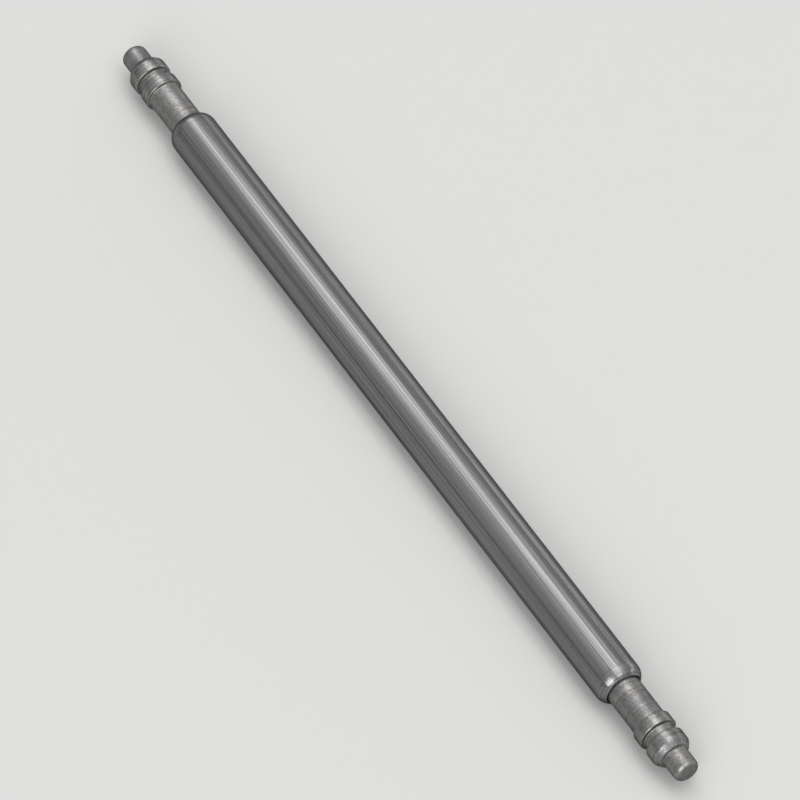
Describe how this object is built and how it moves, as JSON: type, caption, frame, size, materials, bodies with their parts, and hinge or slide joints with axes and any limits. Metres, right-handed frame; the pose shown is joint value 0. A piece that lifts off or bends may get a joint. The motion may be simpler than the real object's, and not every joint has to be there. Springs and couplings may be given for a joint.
{
  "type": "double flange spring bar",
  "caption": "Double flange spring bar: a thin steel tube rolled in at both ends, with a sprung, flanged plunger in each end that presses in to free its pivot from a watch lug.",
  "frame": {"origin": "middle of the bar, on its axis", "axes": "+X along the bar's axis, from the left plunger to the right one"},
  "size_m": [0.0308, 0.0016, 0.0014],
  "materials": {
    "tube_steel": "drawn stainless tube, bright along its length",
    "plunger_steel": "turned and tumbled stainless steel, satin",
    "spring_wire": "drawn stainless spring wire"
  },
  "bodies": {
    "tube": {"barrel": "tube_steel"},
    "spring": {"coil_spring": "spring_wire"},
    "plunger_left": {"left_plunger": "plunger_steel"},
    "plunger_right": {"right_plunger": "plunger_steel"}
  },
  "joints": [
    {"name": "tube_spin", "type": "hinge", "parent": "tube", "child": "spring", "pos_m": [0, 0, 0], "axis": [1, 0, 0], "continuous": true},
    {"name": "left_press", "type": "slide", "parent": "spring", "child": "plunger_left", "axis": [1, 0, 0], "range_m": [0, 0.0013], "stiffness_N_per_m": 2200, "springref_m": -0.0009, "deforming": ["coil_spring"]},
    {"name": "right_press", "type": "slide", "parent": "spring", "child": "plunger_right", "axis": [-1, 0, 0], "range_m": [0, 0.0013], "stiffness_N_per_m": 2200, "springref_m": -0.0009, "deforming": ["coil_spring"]}
  ]
}
